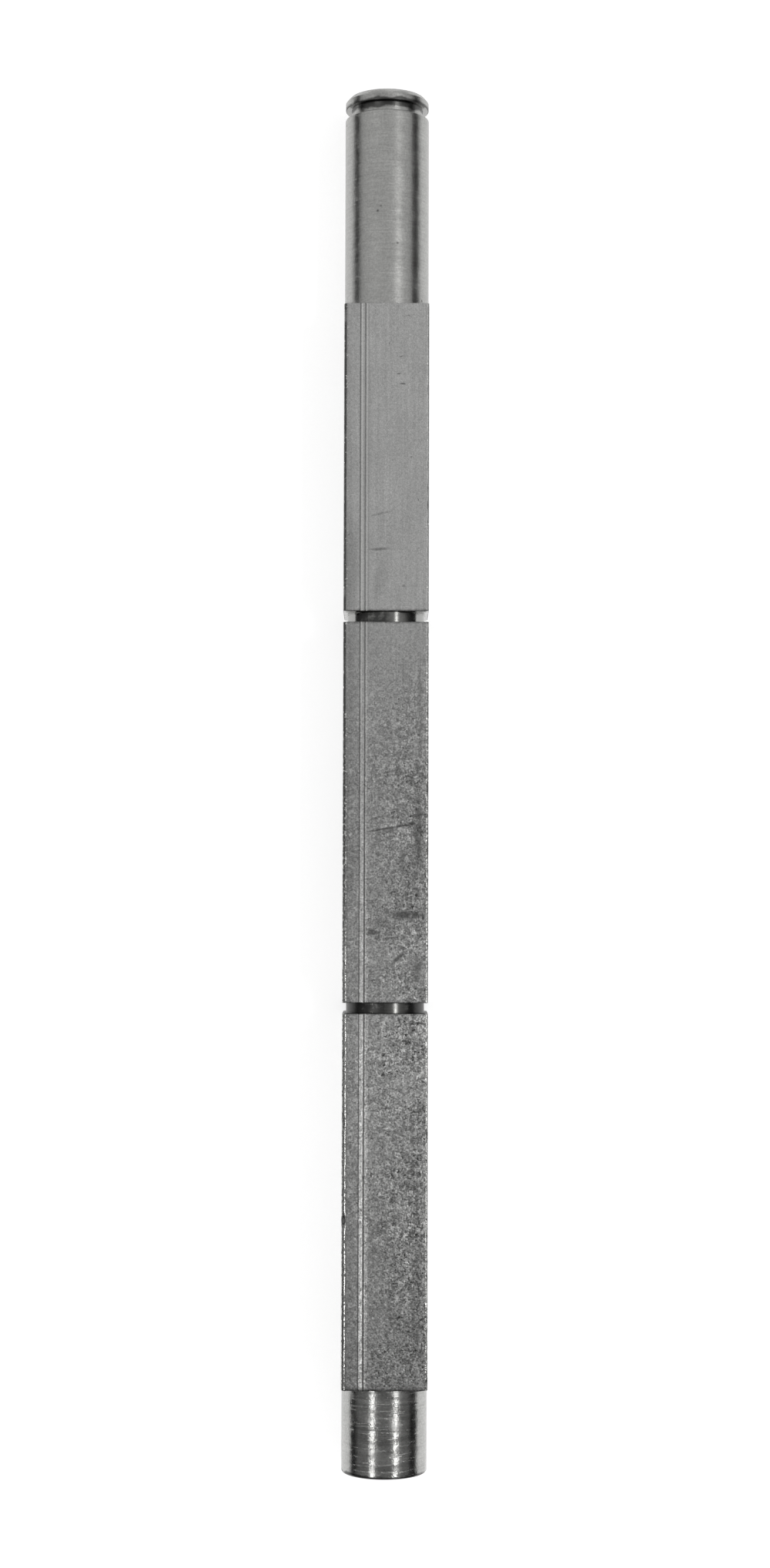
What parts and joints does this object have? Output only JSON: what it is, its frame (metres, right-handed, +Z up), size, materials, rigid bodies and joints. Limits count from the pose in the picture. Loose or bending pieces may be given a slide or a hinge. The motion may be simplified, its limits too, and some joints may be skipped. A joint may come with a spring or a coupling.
{
  "type": "shaft",
  "caption": "Square steel shaft with a round journal turned on each end, ring grooves along the square and a lipped ring groove at the tip of the long journal.",
  "frame": {"origin": "on the shaft's axis, half way along its whole length", "axes": "+Y along the axis towards the long journal with the end groove, +Z up out of the flat that carries the die lines, so the shaft lies on its opposite flat"},
  "size_m": [0.0064, 0.1032, 0.0064],
  "materials": {
    "steel": "cold-drawn flats with wear and handling marks, turned journals and grooves"
  },
  "bodies": {
    "root": {"shaft": "steel"}
  },
  "joints": []
}
